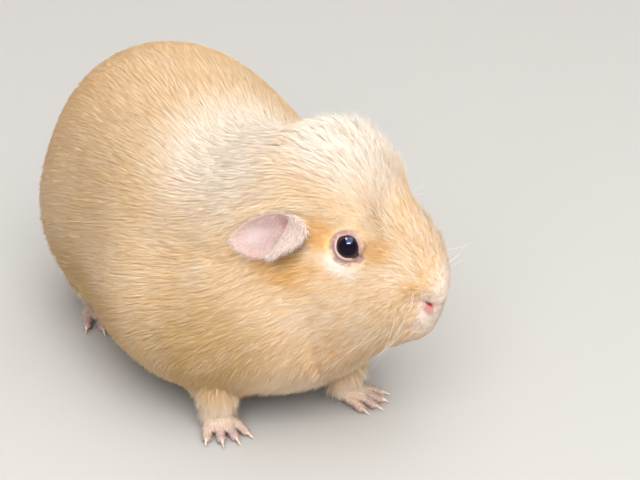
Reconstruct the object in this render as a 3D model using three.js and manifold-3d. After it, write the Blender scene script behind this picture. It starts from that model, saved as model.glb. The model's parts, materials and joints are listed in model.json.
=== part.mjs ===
// A short-haired guinea pig, standing, with its head turned to its left and lowered a little.
// The solids give the animal's outline out to the tips of its coat.
// Millimetres, +X forward, +Y to the animal's left, +Z up. The soles stand on Z = 0.
import * as THREE from "three";
import { mergeVertices } from "three/addons/utils/BufferGeometryUtils.js";
import Module from "manifold-3d";

const wasm = await Module();
wasm.setup();

// ---------------------------------------------------------------- driving dimensions

const CUT = 0.3; // width of each cut that parts the body

// The head's own frame has its origin just above midway between the eyes, +X to the nose, +Y left,
// +Z to the crown.
const HEAD_AT = [72.7, 26.9, 80.8];
const HEAD_YAW = 43; // degrees to the animal's left
const HEAD_PITCH = 33; // degrees nose down
const HEAD_ROLL = 6; // degrees, left side up

const EYE_RADIUS = 5.2;
const EYE_AT = [0, 18.4, -2.2]; // the left one, in the head's frame
const NOSE_AT = [35.2, 0, -11.5];
const NOSE_RADII = [3.2, 5.4, 3.6];
const MOUTH_CORNER = [22, 0, -19]; // the corner of the mouth, on the middle plane
const MOUTH_RISE = 4; // degrees that the mouth line rises to the front
const JAW_MIDDLE = [30, 0, -22];
const JAW_RADII = [12, 11, 13];

// Each ear in the head's frame: its long way runs from its front corner to its hanging tip, and its
// wide way from its upper edge to its lower edge. The left one is pushed out by the turn of the neck.
const EARS = {
  left: { middle: [-20.1, 32.5, -8.6], longWay: [-14, 14, -19], wideWay: [10, 7, -12] },
  right: { middle: [-23.2, -27.8, -11.4], longWay: [-18, -4, -22], wideWay: [9, -9, -10] },
};
const EAR_RADII = [15.5, 7.9, 0.9];
const EAR_CUP = 2.6; // how far its rim stands out from its middle
const EAR_ROOT = { radius: 5, forward: 5, sunk: 4 };

const NECK_START = [44, 6, 60]; // the cut between trunk and neck
const NECK_START_WAY = [0.7, 0.35, 0.55];
const NECK_END = [56, 15, 68]; // the cut between neck and head
const NECK_END_WAY = [0.71, 0.55, 0.44];

const FRONT_WRIST = 8.5; // height of the cut between leg and paw
const HIND_ANKLE = 8;
const FORELEGS = {
  left: { shoulder: [42, 24, 34], paw: [53, 25, 0], toeOut: 38 },
  right: { shoulder: [40, -24, 34], paw: [52, -25, 0], toeOut: -6 },
};
const HIND_LEGS = {
  left: { hip: [-50, 32, 34], foot: [-50, 31, 0], toeOut: 12 },
  right: { hip: [-54, -32, 34], foot: [-55, -31, 0], toeOut: -12 },
};

// ---------------------------------------------------------------- distance fields

const v = (p) => new THREE.Vector3(...p);
const degrees = THREE.MathUtils.degToRad;
const mirrored = ([x, y, z], side) => [x, y * side, z];

// An ellipsoid's distance, near enough to blend with.
function ellipsoid(centre, radii) {
  const [cx, cy, cz] = centre;
  const [rx, ry, rz] = radii;
  return (p) => {
    const [x, y, z] = [p.x - cx, p.y - cy, p.z - cz];
    const near = Math.hypot(x / rx, y / ry, z / rz);
    const slope = Math.hypot(x / rx ** 2, y / ry ** 2, z / rz ** 2);
    return slope > 1e-9 ? (near * (near - 1)) / slope : -Math.min(rx, ry, rz);
  };
}

// A round bar that tapers from one radius to another.
function bar(from, to, fromRadius, toRadius) {
  const start = v(from);
  const along = v(to).sub(start);
  const rest = new THREE.Vector3();
  return (p) => {
    rest.subVectors(p, start);
    const share = THREE.MathUtils.clamp(rest.dot(along) / along.lengthSq(), 0, 1);
    return rest.addScaledVector(along, -share).length() - THREE.MathUtils.lerp(fromRadius, toRadius, share);
  };
}

// The union of several fields, with a fillet of about `round` between them.
function blend(round, ...fields) {
  return (p) =>
    fields.reduce((held, field) => {
      const d = field(p);
      const mix = Math.max(round - Math.abs(held - d), 0) / round;
      return Math.min(held, d) - (mix * mix * round) / 4;
    }, Infinity);
}

// A field moved by a matrix.
function placed(matrix, field) {
  const back = matrix.clone().invert();
  const q = new THREE.Vector3();
  return (p) => field(q.copy(p).applyMatrix4(back));
}

const grown = (field, by) => (p) => field(p) - by;

const pair = (round, centre, radii) =>
  blend(round, ellipsoid(centre, radii), ellipsoid(mirrored(centre, -1), radii));

// ---------------------------------------------------------------- the animal's shape

const headGroup = new THREE.Group();
headGroup.position.set(...HEAD_AT);
headGroup.rotation.set(degrees(HEAD_ROLL), degrees(HEAD_PITCH), degrees(HEAD_YAW), "ZYX");
headGroup.updateMatrix();
const toHeadFrame = headGroup.matrix.clone().invert();
const onHead = (p) => v(p).applyMatrix4(headGroup.matrix);

const trunkShape = blend(
  22,
  ellipsoid([-50, 2, 58], [54, 46, 48]), // rump
  ellipsoid([-6, 2, 55], [50, 46, 43]), // barrel
  pair(10, [12, 22, 34], [44, 26, 24]), // flanks
  pair(10, [18, 27.5, 33], [38, 17, 17]), // lower edges of the flanks
  ellipsoid([50, 3, 42], [30, 31, 32]), // chest
  ellipsoid([40, 7, 71], [30, 27, 32]), // nape
  ellipsoid([62, 19, 54], [24, 19, 21]), // throat
  pair(10, [-50, 29, 37], [34, 19, 25]), // haunches
);

const headShape = blend(
  6.5,
  ellipsoid([-17.5, 0, -2.3], [25.5, 24.4, 25.1]), // braincase
  ellipsoid([6, 0, -8], [29, 14, 22]), // face
  ellipsoid([24, 0, -14.3], [14, 11.4, 13.7]), // muzzle
  pair(8, [-5, 11, -20], [22, 12, 15]), // cheeks
  pair(6, [-6, 15, 8], [7, 6, 5.5]), // brows
  ellipsoid([24, 0, -22.7], [16.6, 10, 10.7]), // chin
);

const bodyShape = blend(16, trunkShape, placed(headGroup.matrix, headShape));

const forelegShape = ({ shoulder, paw: [x, y] }) => bar(shoulder, [x + 1, y, 6], 13, 6.6);
const thighShape = ({ hip, foot: [x, y] }) => bar(hip, [x - 7, y, 6], 16, 6.6);

// ---------------------------------------------------------------- meshes from fields

// How far a ray goes from inside a field before it meets the surface.
function cast(field, origin, way, reach) {
  const STEP = 1.5;
  const at = new THREE.Vector3();
  let inside = 0;
  while (inside < reach && field(at.copy(origin).addScaledVector(way, inside + STEP)) < 0) inside += STEP;
  let outside = inside + STEP;
  for (let i = 0; i < 16; i++) {
    const middle = (inside + outside) / 2;
    if (field(at.copy(origin).addScaledVector(way, middle)) < 0) inside = middle;
    else outside = middle;
  }
  return Math.min(inside, reach);
}

// A sphere's vertices, cast out from a curved axis until they lie on the field's surface. Each station
// of the axis is a place and a turn: rays leave square to the turned X axis, and fan out past each end.
function wrap(field, stations, { sides, rows, capRows, reach = 90 }) {
  const shell = new THREE.SphereGeometry(1, sides, rows);
  shell.deleteAttribute("normal");
  shell.deleteAttribute("uv");
  const geometry = mergeVertices(shell, 1e-5);
  const axis = new THREE.CatmullRomCurve3(stations.map(([place]) => place));
  const places = geometry.getAttribute("position");
  const [vertex, way, origin, turn] = [
    new THREE.Vector3(),
    new THREE.Vector3(),
    new THREE.Vector3(),
    new THREE.Quaternion(),
  ];
  for (let i = 0; i < places.count; i++) {
    vertex.fromBufferAttribute(places, i);
    const row = (Math.acos(THREE.MathUtils.clamp(vertex.y, -1, 1)) / Math.PI) * rows;
    const share = THREE.MathUtils.clamp((rows - capRows - row) / (rows - 2 * capRows), 0, 1);
    const tilt = (Math.max(0, 1 - row / capRows) - Math.max(0, 1 - (rows - row) / capRows)) * (Math.PI / 2);
    const around = Math.atan2(vertex.z, vertex.x);
    const leg = Math.min(Math.floor(share * (stations.length - 1)), stations.length - 2);
    turn.slerpQuaternions(stations[leg][1], stations[leg + 1][1], share * (stations.length - 1) - leg);
    axis.getPoint(share, origin);
    way
      .set(Math.sin(tilt), Math.sin(around) * Math.cos(tilt), Math.cos(around) * Math.cos(tilt))
      .applyQuaternion(turn);
    vertex.copy(origin).addScaledVector(way, cast(field, origin, way, reach));
    places.setXYZ(i, vertex.x, vertex.y, vertex.z);
  }
  return solidOf(geometry);
}

// The stations of a straight axis.
function straight(from, to) {
  const way = v(to).sub(v(from)).normalize();
  const turn = new THREE.Quaternion().setFromUnitVectors(new THREE.Vector3(1, 0, 0), way);
  return [[v(from), turn], [v(to), turn]];
}

// ---------------------------------------------------------------- solids

function solidOf(geometry) {
  const bare = new THREE.BufferGeometry().setAttribute("position", geometry.getAttribute("position"));
  bare.setIndex(geometry.index);
  const merged = mergeVertices(bare, 1e-4);
  return new wasm.Manifold(
    new wasm.Mesh({
      numProp: 3,
      vertProperties: new Float32Array(merged.getAttribute("position").array),
      triVerts: new Uint32Array(merged.index.array),
    }),
  );
}

function geometryOf(solid) {
  const { vertProperties, triVerts } = solid.getMesh();
  const geometry = new THREE.BufferGeometry();
  geometry.setAttribute("position", new THREE.BufferAttribute(vertProperties, 3));
  geometry.setIndex(new THREE.BufferAttribute(triVerts, 1));
  geometry.computeVertexNormals();
  return geometry;
}

const ball = (centre, radii, sides, rows) =>
  solidOf(new THREE.SphereGeometry(1, sides, rows).scale(...radii).translate(...centre));

const joined = (solids) => solids.reduce((held, solid) => held.add(solid));

// All that lies past a plane, on the side its normal points to.
function past(point, normal, gap = 0) {
  const SIZE = 500;
  const way = normal.clone().normalize();
  const turn = new THREE.Quaternion().setFromUnitVectors(new THREE.Vector3(0, 0, 1), way);
  const block = new THREE.BoxGeometry(SIZE, SIZE, SIZE).translate(0, 0, SIZE / 2 - gap);
  return solidOf(block.applyQuaternion(turn).translate(point.x, point.y, point.z));
}

const UP = new THREE.Vector3(0, 0, 1);
const DOWN = new THREE.Vector3(0, 0, -1);
const above = (height) => past(new THREE.Vector3(0, 0, height), UP);
const below = (height) => past(new THREE.Vector3(0, 0, height), DOWN);

// ---------------------------------------------------------------- the whole body, to be cut up

const LEVEL = new THREE.Quaternion();
const FACING = new THREE.Quaternion().setFromEuler(new THREE.Euler(0, degrees(10), degrees(HEAD_YAW), "ZYX"));
const SPINE = [
  [v([-54, 1, 56]), LEVEL],
  [v([-12, 2, 54]), LEVEL.clone().slerp(FACING, 0.06)],
  [v([24, 4, 54]), LEVEL.clone().slerp(FACING, 0.32)],
  [v([43, 10, 58]), LEVEL.clone().slerp(FACING, 0.6)],
  [v([58, 18, 64]), LEVEL.clone().slerp(FACING, 0.85)],
  [onHead([7, 0, -13]), FACING],
  [onHead([21, 0, -14]), FACING],
];
const wrappedBody = (by) => wrap(grown(bodyShape, by), SPINE, { sides: 32, rows: 42, capRows: 6 });

function legs() {
  const front = Object.values(FORELEGS).map((leg) => {
    const ankle = [leg.paw[0] + 1, leg.paw[1], 6];
    return wrap(forelegShape(leg), straight(leg.shoulder, ankle), { sides: 14, rows: 8, capRows: 2 });
  });
  const hind = Object.values(HIND_LEGS).map((leg) => {
    const ankle = [leg.foot[0] - 7, leg.foot[1], 6];
    return wrap(thighShape(leg), straight(leg.hip, ankle), { sides: 14, rows: 8, capRows: 2 });
  });
  return joined([...front, ...hind]);
}

// ---------------------------------------------------------------- cuts

// An oval plug driven into the body from one side.
const plug = ([x, y, z], [width, height], by) =>
  solidOf(
    new THREE.CylinderGeometry(1, 1, 60, 22)
      .scale(width + by, 1, height + by)
      .translate(x, Math.sign(y) * (30 + Math.abs(y) - by), z),
  );
const forelegPlug = ({ shoulder: [x, y] }, by = 0) => plug([x + 6, Math.sign(y) * 10, 20], [16, 24], by);
const thighPlug = ({ hip: [x, y] }, by = 0) => plug([x, Math.sign(y) * 12, 27], [31, 30], by);

// Room above a foot for it to pass under the coat.
const footRoom = ([x, y, z], toeOut, radii) =>
  solidOf(
    new THREE.SphereGeometry(1, 16, 10)
      .scale(...radii)
      .applyMatrix4(new THREE.Matrix4().makeRotationZ(degrees(toeOut)).setPosition(x, y, z)),
  );

function withoutLegs(solid) {
  for (const side of ["left", "right"]) {
    const [front, hind] = [FORELEGS[side], HIND_LEGS[side]];
    solid = solid
      .subtract(forelegPlug(front, CUT))
      .subtract(thighPlug(hind, CUT))
      .subtract(footRoom(front.paw, front.toeOut, [19, 11, 10]))
      .subtract(footRoom(hind.foot, hind.toeOut, [29, 12, 10.5]));
  }
  return solid;
}

const behind = (point, way) => past(v(point), v(way).negate(), -CUT / 2);
const ahead = (point, way) => past(v(point), v(way), -CUT / 2);

// ---------------------------------------------------------------- head, jaw, nose, eyes and ears

const nose = () => ball([0, 0, 0], NOSE_RADII, 10, 6);
const eye = () => ball([0, 0, 0], [EYE_RADIUS, EYE_RADIUS, EYE_RADIUS], 12, 8);

const mouthWay = new THREE.Vector3(0, 0, 1).applyAxisAngle(new THREE.Vector3(0, 1, 0), -degrees(MOUTH_RISE));

// Below the mouth line, from its corner to the tip of the chin.
function jawRegion(gap) {
  const under = past(v(MOUTH_CORNER), mouthWay.clone().negate(), -gap);
  return under.intersect(ball(JAW_MIDDLE, JAW_RADII.map((r) => r - gap), 14, 8));
}

function head(solid) {
  const nostrils = ball(NOSE_AT, NOSE_RADII.map((r) => r + CUT), 10, 6);
  let cutOut = solid.subtract(jawRegion(-CUT / 2)).subtract(nostrils);
  for (const side of [1, -1]) {
    const socket = EYE_RADIUS + CUT;
    cutOut = cutOut.subtract(ball(mirrored(EYE_AT, side), [socket, socket, socket], 12, 8));
  }
  return cutOut;
}

// A thin cupped petal on a short root, cut to fit the side of the head.
function ear({ middle, longWay, wideWay }, grownBody) {
  const long = v(longWay).normalize();
  const out = long.clone().cross(v(wideWay)).normalize();
  out.multiplyScalar(Math.sign(out.y * middle[1]));
  const wide = out.clone().cross(long);
  const [lengthways, widthways, thickness] = EAR_RADII;
  const petal = new THREE.SphereGeometry(1, 14, 8).rotateX(Math.PI / 2);
  const places = petal.getAttribute("position");
  for (let i = 0; i < places.count; i++) {
    const s = new THREE.Vector3().fromBufferAttribute(places, i);
    const hollow = EAR_CUP * (s.x * s.x + s.y * s.y);
    const at = v(middle)
      .addScaledVector(long, s.x * lengthways)
      .addScaledVector(wide, s.y * widthways * (1 - 0.12 * s.x))
      .addScaledVector(out, s.z * thickness + hollow);
    places.setXYZ(i, at.x, at.y, at.z);
  }
  const root = v(middle).addScaledVector(long, -EAR_ROOT.forward).addScaledVector(out, -EAR_ROOT.sunk);
  const radii = [EAR_ROOT.radius, EAR_ROOT.radius, EAR_ROOT.radius];
  return solidOf(petal).add(ball(root.toArray(), radii, 10, 6)).subtract(grownBody);
}

// ---------------------------------------------------------------- paws and claws

// A toe with its claw, from the front edge of the pad.
function toe([x, y, z], spread, length, radius) {
  const finger = new THREE.SphereGeometry(1, 6, 4).scale(length / 2, radius, radius).translate(length / 2, 0, 0);
  const claw = new THREE.ConeGeometry(radius * 0.62, length * 0.7, 5)
    .rotateZ(-Math.PI / 2)
    .rotateY(degrees(16))
    .translate(length * 1.16, 0, -radius * 0.2);
  const turn = new THREE.Matrix4().makeRotationZ(degrees(spread)).setPosition(x, y, z);
  return solidOf(finger.applyMatrix4(turn)).add(solidOf(claw.applyMatrix4(turn)));
}

// A paw in its own frame: origin on the floor below the wrist, +X to the toes.
function forepaw() {
  const pad = blend(4, ellipsoid([4, 0, 3.6], [9, 6.4, 4.4]), bar([1, 0, 12], [1, 0, 5], 7, 5.5));
  const toes = [-1.5, -0.5, 0.5, 1.5].map((place) =>
    toe([8.6 - Math.abs(place) * 1.6, place * 3.4, 2.2], place * 14, 7.4, 2.3),
  );
  return wrap(pad, straight([1, 0, 5], [4, 0, 3.6]), { sides: 12, rows: 7, capRows: 3, reach: 20 })
    .add(joined(toes))
    .subtract(above(FRONT_WRIST - CUT / 2))
    .subtract(below(0));
}

function hindFoot() {
  const pad = blend(5, bar([-13, 0, 4.4], [10, 0, 3.6], 5.2, 5.6), bar([-7, 0, 12], [-9, 0, 5], 7, 5));
  const toes = [-1, 0, 1].map((place) =>
    toe([12.4 - Math.abs(place) * 1.8, place * 4.1, 2.4], place * 13, 9.2, 2.6),
  );
  return wrap(pad, straight([-9, 0, 4.6], [8, 0, 3.8]), { sides: 10, rows: 8, capRows: 2, reach: 24 })
    .add(joined(toes))
    .subtract(above(HIND_ANKLE - CUT / 2))
    .subtract(below(0));
}

// ---------------------------------------------------------------- assembly

const coat = new THREE.MeshStandardMaterial({ color: 0xe9bd85, roughness: 0.85, metalness: 0 });
const crownCoat = new THREE.MeshStandardMaterial({ color: 0xeec794, roughness: 0.85, metalness: 0 });
const paleCoat = new THREE.MeshStandardMaterial({ color: 0xf1dcc0, roughness: 0.85, metalness: 0 });
const pawSkin = new THREE.MeshStandardMaterial({ color: 0xe2b19b, roughness: 0.7, metalness: 0 });
const earSkin = new THREE.MeshStandardMaterial({ color: 0xe3b8b3, roughness: 0.65, metalness: 0 });
const noseSkin = new THREE.MeshStandardMaterial({ color: 0xd89a90, roughness: 0.55, metalness: 0 });
const eyeGlass = new THREE.MeshStandardMaterial({ color: 0x0d0a0c, roughness: 0.08, metalness: 0 });

function add(group, name, solid, material, at = [0, 0, 0]) {
  const mesh = new THREE.Mesh(geometryOf(solid), material);
  mesh.name = name;
  mesh.position.set(...at);
  group.add(mesh);
}

const animal = new THREE.Group();
const inHeadFrame = (solid) => solid.transform(toHeadFrame.elements);
const whole = wrappedBody(0).add(legs());

add(animal, "trunk", withoutLegs(whole.intersect(behind(NECK_START, NECK_START_WAY))), coat);
const slab = whole.intersect(ahead(NECK_START, NECK_START_WAY)).intersect(behind(NECK_END, NECK_END_WAY));
add(animal, "neck", withoutLegs(slab), coat);
const face = inHeadFrame(withoutLegs(whole.intersect(ahead(NECK_END, NECK_END_WAY))));
add(headGroup, "head", head(face), crownCoat);
add(headGroup, "lower_jaw", face.intersect(jawRegion(CUT / 2)), paleCoat);
add(headGroup, "nose", nose(), noseSkin, NOSE_AT);
animal.add(headGroup);

const grownBody = inHeadFrame(wrappedBody(CUT));
for (const [side, sign] of [["left", 1], ["right", -1]]) {
  add(headGroup, "eye_" + side, eye(), eyeGlass, mirrored(EYE_AT, sign));
  add(headGroup, "ear_" + side, ear(EARS[side], grownBody), earSkin);

  const [front, hind] = [FORELEGS[side], HIND_LEGS[side]];
  add(animal, "foreleg_" + side, whole.intersect(forelegPlug(front)).subtract(below(FRONT_WRIST + CUT / 2)), coat);
  add(animal, "thigh_" + side, whole.intersect(thighPlug(hind)).subtract(below(HIND_ANKLE + CUT / 2)), coat);
  for (const [name, solid, at, toeOut] of [
    ["forepaw_", forepaw(), front.paw, front.toeOut],
    ["hind_foot_", hindFoot(), hind.foot, hind.toeOut],
  ]) {
    const footGroup = new THREE.Group();
    footGroup.position.set(...at);
    footGroup.rotation.z = degrees(toeOut);
    add(footGroup, name + side, solid, pawSkin);
    animal.add(footGroup);
  }
}

// The origin is under the middle of the animal, on the floor.
const root = new THREE.Group();
root.add(animal);
root.updateMatrixWorld(true);
const box = new THREE.Box3().setFromObject(animal, true);
const middle = box.getCenter(new THREE.Vector3());
animal.position.set(-middle.x, -middle.y, -box.min.z);

export default root;
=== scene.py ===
"""A life-size model of a short-haired golden-buff guinea pig, as a museum shows one."""

import json
import math

import bmesh
import bpy
import numpy as np
from mathutils import Matrix, Vector, noise
from mathutils.kdtree import KDTree


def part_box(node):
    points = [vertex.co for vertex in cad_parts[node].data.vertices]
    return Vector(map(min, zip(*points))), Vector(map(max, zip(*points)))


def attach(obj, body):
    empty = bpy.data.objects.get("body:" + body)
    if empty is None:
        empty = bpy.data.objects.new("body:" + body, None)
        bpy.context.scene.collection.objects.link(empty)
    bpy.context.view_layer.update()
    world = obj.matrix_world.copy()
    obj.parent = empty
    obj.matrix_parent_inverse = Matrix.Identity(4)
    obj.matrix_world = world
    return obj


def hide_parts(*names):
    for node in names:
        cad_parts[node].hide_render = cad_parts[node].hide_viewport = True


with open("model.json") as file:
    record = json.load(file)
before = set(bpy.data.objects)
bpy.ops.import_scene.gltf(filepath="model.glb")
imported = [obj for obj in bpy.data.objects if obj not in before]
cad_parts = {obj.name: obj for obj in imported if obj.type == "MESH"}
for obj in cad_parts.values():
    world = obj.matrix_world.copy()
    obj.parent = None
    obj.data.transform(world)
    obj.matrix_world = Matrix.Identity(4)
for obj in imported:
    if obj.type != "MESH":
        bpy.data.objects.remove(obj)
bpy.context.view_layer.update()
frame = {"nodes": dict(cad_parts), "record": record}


# ------------------------------------------------------------------ camera, lamps and floor
# The animal is seen from its front right and a little above, by a long lens about a metre away.
# It stands on a plain pale floor in the soft light of broad lamps: the strongest is in front of
# its face, and weaker ones fill in from its far side, from above and from behind.

MM = 0.001
THROAT = Vector((84.3, 7.6, 60)) * MM
CAMERA_AZIMUTH, CAMERA_ELEVATION = math.radians(64.3), math.radians(25.82)
CAMERA_DISTANCE = 0.9
LENS = 146.1
CLIP_NEAR, CLIP_FAR = 0.05, 20
AIM_RIGHT, AIM_UP = -4.75 * MM, 16.95 * MM


def direction(azimuth, elevation):
    """The way from the animal to what stands at that azimuth and elevation."""
    level = math.cos(elevation)
    return Vector((math.sin(azimuth) * level, -math.cos(azimuth) * level, math.sin(elevation)))


def object_of(name, data):
    piece = bpy.data.objects.new(name, data)
    bpy.context.scene.collection.objects.link(piece)
    return piece


def mesh_of(name, bm):
    mesh = bpy.data.meshes.new(name)
    bm.to_mesh(mesh)
    bm.free()
    return mesh


def stood(name, data, place, turn):
    """A camera or a lamp at its place, turned to what it looks at."""
    thing = object_of(name, data)
    thing.location = place
    thing.rotation_mode = "QUATERNION"
    thing.rotation_quaternion = turn
    return thing


def painted(name, roughness, specular=0.0):
    """A new node material: its tree and its shader."""
    paint = bpy.data.materials.new(name)
    paint.use_nodes = True
    shader = paint.node_tree.nodes["Principled BSDF"]
    shader.inputs["Roughness"].default_value = roughness
    shader.inputs["Specular IOR Level"].default_value = specular
    return paint, paint.node_tree, shader


camera_data = bpy.data.cameras.new("camera")
camera_data.lens = LENS
camera_data.clip_start, camera_data.clip_end = CLIP_NEAR, CLIP_FAR
toward_camera = direction(CAMERA_AZIMUTH, CAMERA_ELEVATION)
camera_right = Vector((math.cos(CAMERA_AZIMUTH), math.sin(CAMERA_AZIMUTH), 0))
aim = THROAT + camera_right * AIM_RIGHT + toward_camera.cross(camera_right) * AIM_UP
camera_place = THROAT + toward_camera * CAMERA_DISTANCE
camera = stood("camera", camera_data, camera_place, (aim - camera_place).to_track_quat("-Z", "Y"))
bpy.context.scene.camera = camera
bpy.context.scene.view_settings.view_transform = "Standard"

# Each lamp: its azimuth and elevation in degrees, its distance, width and height in metres, its
# watts and its colour.
LAMPS = {
    "front": (64, 40, 1.8, 1.5, 1.5, 38, (1.0, 0.98, 0.95)),
    "far_side": (120, 45, 1.8, 1.2, 1.2, 4, (1.0, 0.98, 0.96)),
    "above": (64, 80, 1.6, 1.2, 1.2, 9, (1.0, 0.98, 0.96)),
    "behind": (235, 60, 1.6, 1.2, 1.2, 6, (1.0, 0.98, 0.96)),
}
# These show only as reflections in wet eyes, as a window and the sky over it would.
GLINTS = {
    "sky_glint": (76, 71, 1.5, 1.4, 1.5, 170, (0.32, 0.5, 1.0)),
    "window_glint": (64, 46, 1.5, 0.95, 0.22, 75, (0.9, 0.95, 1.0)),
    "lamp_glint": (-4, 71, 1.5, 0.3, 0.3, 20, (0.9, 0.95, 1.0)),
}
for name, (azimuth, elevation, distance, width, height, watts, colour) in (LAMPS | GLINTS).items():
    lamp_data = bpy.data.lights.new(name, "AREA")
    lamp_data.shape = "RECTANGLE"
    lamp_data.size, lamp_data.size_y = width, height
    lamp_data.energy, lamp_data.color = watts, colour
    way = direction(math.radians(azimuth), math.radians(elevation))
    lamp = stood(name, lamp_data, THROAT + way * distance, way.to_track_quat("Z", "Y"))
    lamp.visible_glossy = name in GLINTS
    lamp.visible_diffuse = name in LAMPS

STUDIO_WHITE, STUDIO_STRENGTH = (1.0, 0.97, 0.93, 1), 0.55
world = bpy.data.worlds.new("studio")
world.use_nodes = True
studio = world.node_tree.nodes["Background"]
studio.inputs["Color"].default_value = STUDIO_WHITE
studio.inputs["Strength"].default_value = STUDIO_STRENGTH
bpy.context.scene.world = world

FLOOR_REACH = 6
FLOOR_GREY = (0.5, 0.495, 0.485, 1)
floor_bm = bmesh.new()
bmesh.ops.create_grid(floor_bm, x_segments=1, y_segments=1, size=FLOOR_REACH)
floor_mesh = mesh_of("floor", floor_bm)
floor = object_of("floor", floor_mesh)
floor_paint, _, floor_shader = painted("pale_floor", 0.7)
floor_shader.inputs["Base Color"].default_value = FLOOR_GREY
floor_mesh.materials.append(floor_paint)


# ------------------------------------------------------------------ the skin of the body
# One hide covers the whole animal. It lies inside the coat's outline by the depth of the coat:
# deep on the trunk, shallow on the face, and next to nothing round the eyes and on the nose.


def middle_of(node):
    low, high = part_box(node)
    return (low + high) / 2


# The head's own axes: X to the nose, Y to its left, Z to the crown, from a little above midway
# between the eyes.
EYE_SIDE, EYE_DROP = 18.4, 2.2
NOSE_AHEAD, NOSE_DROP = 35.2, 11.5
eye_middles = {side: middle_of("eye_" + side) for side in ("left", "right")}
eyes_middle = (eye_middles["left"] + eye_middles["right"]) / 2
head_left = (eye_middles["left"] - eye_middles["right"]).normalized()
to_nose = middle_of("nose") - eyes_middle
to_nose = (to_nose - head_left * to_nose.dot(head_left)).normalized()
head_forward = Matrix.Rotation(-math.atan2(NOSE_DROP - EYE_DROP, NOSE_AHEAD), 3, head_left) @ to_nose
head_axes = np.array([head_forward, head_left, head_forward.cross(head_left)])
head_middle = eyes_middle + head_forward.cross(head_left) * EYE_DROP * MM


def to_head(points):
    """Points of the animal's frame, in millimetres of the head's own."""
    return (points - np.array(head_middle)) @ head_axes.T / MM


def from_head(points):
    return np.asarray(points) * MM @ head_axes + np.array(head_middle)


def eye_place(sign):
    return np.array([0, EYE_SIDE * sign, -EYE_DROP])


def length_of(vectors):
    return np.linalg.norm(vectors, axis=-1)


def unit(vectors):
    return vectors / np.maximum(length_of(vectors)[..., None], 1e-12)


def off_eyes(in_head):
    """How far each place is from the middle of the nearer eye."""
    return length_of(in_head * [1, 0, 1] + np.abs(in_head) * [0, 1, 0] - eye_place(1))


def smooth_step(x, low, high):
    share = np.clip((x - low) / (high - low), 0, 1)
    return share * share * (3 - 2 * share)


def hump(*spans):
    """1 where each value is at its middle, less the more widths it is off. Each span is a value,
    its middle and its width."""
    return np.exp(-sum(((value - middle) / width) ** 2 for value, middle, width in spans))


def read_points(mesh, kind="co"):
    flat = np.empty(len(mesh.vertices) * 3, np.float32)
    mesh.vertices.foreach_get(kind, flat)
    return flat.reshape(-1, 3).astype(float)


def move_points(mesh, points):
    mesh.vertices.foreach_set("co", points.astype(np.float32).ravel())
    mesh.update()


def applied(piece):
    """The mesh of a piece with its modifiers applied. The piece itself goes."""
    mesh = bpy.data.meshes.new_from_object(piece.evaluated_get(bpy.context.evaluated_depsgraph_get()))
    bpy.data.objects.remove(piece)
    return mesh


def smoothed(mesh, rounds, weights=None):
    """The mesh relaxed in rounds, less where its weights are low."""
    piece = object_of("smoothed", mesh)
    smooth = piece.modifiers.new("smooth", "SMOOTH")
    smooth.factor = 0.5
    smooth.iterations = rounds
    if weights:
        group = piece.vertex_groups.new(name="smoothing")
        for index, weight in enumerate(weights(read_points(mesh))):
            group.add([index], weight, "REPLACE")
        smooth.vertex_group = "smoothing"
    return applied(piece)


def remeshed(mesh, voxel, rounds, weights=None):
    """One new closed surface round all the parts of a mesh, smoothed."""
    piece = object_of("remeshed", mesh)
    remesh = piece.modifiers.new("remesh", "REMESH")
    remesh.mode = "VOXEL"
    remesh.voxel_size = voxel
    return smoothed(applied(piece), rounds, weights)


# The line of the spine and skull, from the front of the nose to the rump, and places along it.
SKULL = ([38, 0, -10], [22, 0, -13], [2, 0, -11])
BACKBONE = ([61, 17.6, 64], [46.9, 9.6, 59], [27.9, 3.6, 56], [-8, 1.6, 56], [-50, 0.6, 57], [-100, 0.6, 50])
SPINE_SAMPLES = 240
SPINE_ROUNDING = 25
bends = [from_head(place) for place in SKULL] + [np.array(place) * MM for place in BACKBONE]
reach = np.concatenate([[0], np.cumsum(length_of(np.diff(bends, axis=0)))])
spine_arcs = np.linspace(0, reach[-1], SPINE_SAMPLES)
spine = np.stack([np.interp(spine_arcs, reach, [p[i] for p in bends]) for i in range(3)], axis=1)
padded_spine = np.concatenate([spine[:1]] * SPINE_ROUNDING + [spine] + [spine[-1:]] * SPINE_ROUNDING)
window = np.hanning(2 * SPINE_ROUNDING + 1)
spine = np.stack([np.convolve(padded_spine[:, i], window / window.sum(), "valid") for i in range(3)], 1)
spine_ways = unit(np.gradient(spine, axis=0))
spine_arcs /= MM


def along_spine(points):
    """How far back each place is from the nose in millimetres, the way back there, and the angle
    round the spine: 0 on the back's middle line, up to pi below, positive on the left."""
    nearest = np.empty(len(points), int)
    for start in range(0, len(points), 20000):
        gaps = points[start : start + 20000, None] - spine[None]
        nearest[start : start + 20000] = np.argmin((gaps * gaps).sum(2), axis=1)
    ways = spine_ways[nearest]
    ups = unit(np.array([0, 0, 1.0]) - ways * ways[:, 2:])
    lefts = np.cross(ways, ups)
    out = points - spine[nearest]
    angles = np.arctan2((out * lefts).sum(1), (out * ups).sum(1))
    beyond = (out * ways).sum(1) / MM
    return spine_arcs[nearest] + beyond, ways, angles


def crown_share(arcs, angles):
    """1 on the forehead and crown, where the coat is deep, falling to 0 around them."""
    along_head = np.interp(arcs, [30, 38, 42, 50, 74], [0, 1, 1, 0.55, 0])
    return along_head * smooth_step(np.cos(angles), 0.4, 0.95)


def bridge_share(arcs, angles):
    """1 on the bridge of the nose, where the coat is a little deeper, falling to 0 around it."""
    return smooth_step(arcs, 4, 14) * smooth_step(-arcs, -34, -20) * smooth_step(np.cos(angles), 0.5, 0.95)


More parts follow.
